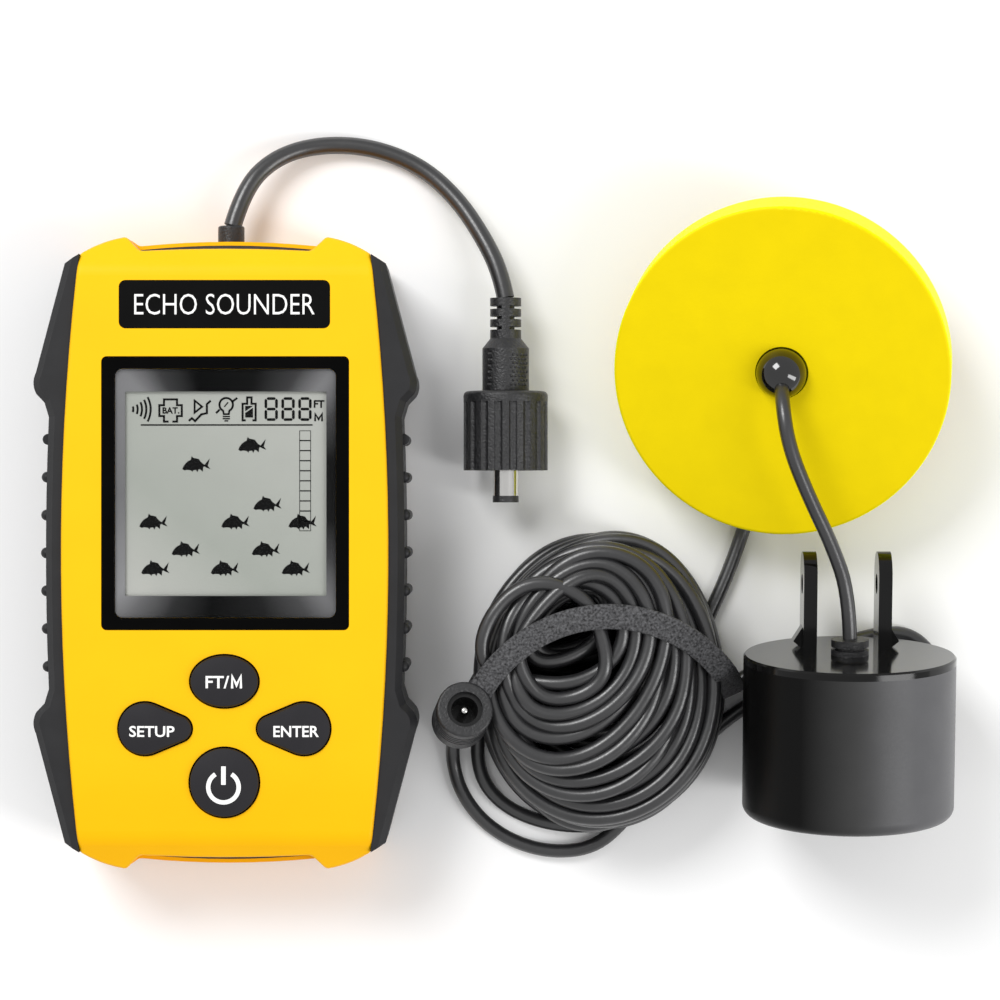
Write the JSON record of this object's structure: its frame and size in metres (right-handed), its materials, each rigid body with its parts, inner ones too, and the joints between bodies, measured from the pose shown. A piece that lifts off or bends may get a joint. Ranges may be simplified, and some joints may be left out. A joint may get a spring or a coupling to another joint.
{
  "type": "portable fish finder",
  "caption": "Handheld wired fish finder with screen and keys, a short pigtail plug, and a sonar transducer on a strapped hank of cable with a disc float.",
  "frame": {"origin": "centre of the handset's flat back, which lies on the ground plane", "axes": "+X to the handset's right, towards the sonar set; +Y towards the handset's cable end; +Z out of the screen"},
  "size_m": [0.1915, 0.1545, 0.048],
  "materials": {
    "case_yellow": "satin moulded ABS",
    "grip_rubber": "matt fine-textured rubber",
    "seal_rubber": "matt",
    "nameplate_black": "satin black with white print",
    "bezel_black": "gloss black",
    "window_clear": "clear polycarbonate",
    "lcd_frame_grey": "grey, gloss",
    "lcd_glass": "reflective grey-green LCD",
    "light_guide": "white",
    "zebra": "banded silicone",
    "board_green": "solder mask",
    "chip_black": "matt epoxy",
    "switch_metal": "stamped",
    "key_rubber": "satin silicone with white print",
    "screw_steel": "zinc plated",
    "tray_black": "satin",
    "cell_jacket": "gloss sleeve",
    "contact_nickel": "nickel",
    "cable_pvc": "satin PVC",
    "lead_wire": "thin PVC",
    "plug_black": "satin overmould",
    "nut_black": "grained",
    "plug_metal": "nickel",
    "sonar_black": "satin side",
    "sonar_gloss": "gloss top",
    "ceramic": "fired ceramic",
    "backing": "cork and epoxy",
    "epoxy": "cast",
    "float_foam": "closed-cell foam",
    "bead_gloss": "gloss",
    "hook_loop": "woven hook-and-loop"
  },
  "bodies": {
    "handset": {"front_shell": "case_yellow", "rear_shell": "case_yellow", "case_seal": "seal_rubber", "left_grip": "grip_rubber", "right_grip": "grip_rubber", "nameplate": "nameplate_black", "display_bezel": "bezel_black", "lcd_frame": "lcd_frame_grey", "display_window": "window_clear", "lcd_panel": "lcd_glass", "backlight_plate": "light_guide", "zebra_strips": "zebra", "main_board": "board_green", "board_chips": "chip_black", "tact_switches": "switch_metal", "buzzer": "chip_black", "board_screws": "screw_steel", "case_screws": "screw_steel", "battery_tray": "tray_black", "battery_springs": "contact_nickel", "battery_plates": "contact_nickel", "cable_gland": "plug_black", "signal_leads": "lead_wire", "pigtail_cable": "cable_pvc", "plug_moulding": "plug_black", "plug_seal": "seal_rubber", "plug_barrel": "plug_metal", "plug_insulator": "plug_black", "plug_contact": "plug_metal", "battery_1": "cell_jacket", "battery_2": "cell_jacket", "battery_3": "cell_jacket", "battery_4": "cell_jacket"},
    "ftm_key": {"ftm_key": "key_rubber"},
    "setup_key": {"setup_key": "key_rubber"},
    "enter_key": {"enter_key": "key_rubber"},
    "power_key": {"power_key": "key_rubber"},
    "coupling_nut": {"coupling_nut": "nut_black"},
    "battery_door": {"battery_door": "case_yellow"},
    "float": {"float_disc": "float_foam"},
    "sonar_set": {"transducer_housing": "sonar_black", "transducer_cap": "sonar_gloss", "transducer_gland": "plug_black", "piezo_disc": "ceramic", "backing_disc": "backing", "potting": "epoxy", "float_bead": "bead_gloss", "cable_lead": "cable_pvc", "cable_rear": "cable_pvc", "cable_stray": "cable_pvc", "cable_tail": "cable_pvc", "cable_hank": "cable_pvc", "hank_strap": "hook_loop", "socket_body": "plug_black", "socket_sleeve": "plug_metal", "socket_pin": "plug_metal"}
  },
  "joints": [
    {"name": "ftm_key_press", "type": "slide", "parent": "handset", "child": "ftm_key", "axis": [0, 0, -1], "range_m": [0, 0.0007], "stiffness_N_per_m": 1500, "springref_m": -0.0003},
    {"name": "setup_key_press", "type": "slide", "parent": "handset", "child": "setup_key", "axis": [0, 0, -1], "range_m": [0, 0.0007], "stiffness_N_per_m": 1500, "springref_m": -0.0003},
    {"name": "enter_key_press", "type": "slide", "parent": "handset", "child": "enter_key", "axis": [0, 0, -1], "range_m": [0, 0.0007], "stiffness_N_per_m": 1500, "springref_m": -0.0003},
    {"name": "power_key_press", "type": "slide", "parent": "handset", "child": "power_key", "axis": [0, 0, -1], "range_m": [0, 0.0007], "stiffness_N_per_m": 1500, "springref_m": -0.0003},
    {"name": "coupling_nut_spin", "type": "hinge", "parent": "handset", "child": "coupling_nut", "pos_m": [0.0582, 0.026, 0.00895], "axis": [0, -1, 0], "continuous": true},
    {"name": "battery_door_slide", "type": "slide", "parent": "handset", "child": "battery_door", "axis": [0, -1, 0], "range_m": [0, 0.03]},
    {"name": "sonar_set_lift", "type": "slide", "parent": "handset", "child": "sonar_set", "axis": [0, 0, 1], "range_m": [0, 0.08]},
    {"name": "float_spin", "type": "hinge", "parent": "sonar_set", "child": "float", "pos_m": [0.1155, 0.0374, 0.0249], "axis": [-0.1316, -0.2611, 0.9563], "continuous": true}
  ]
}
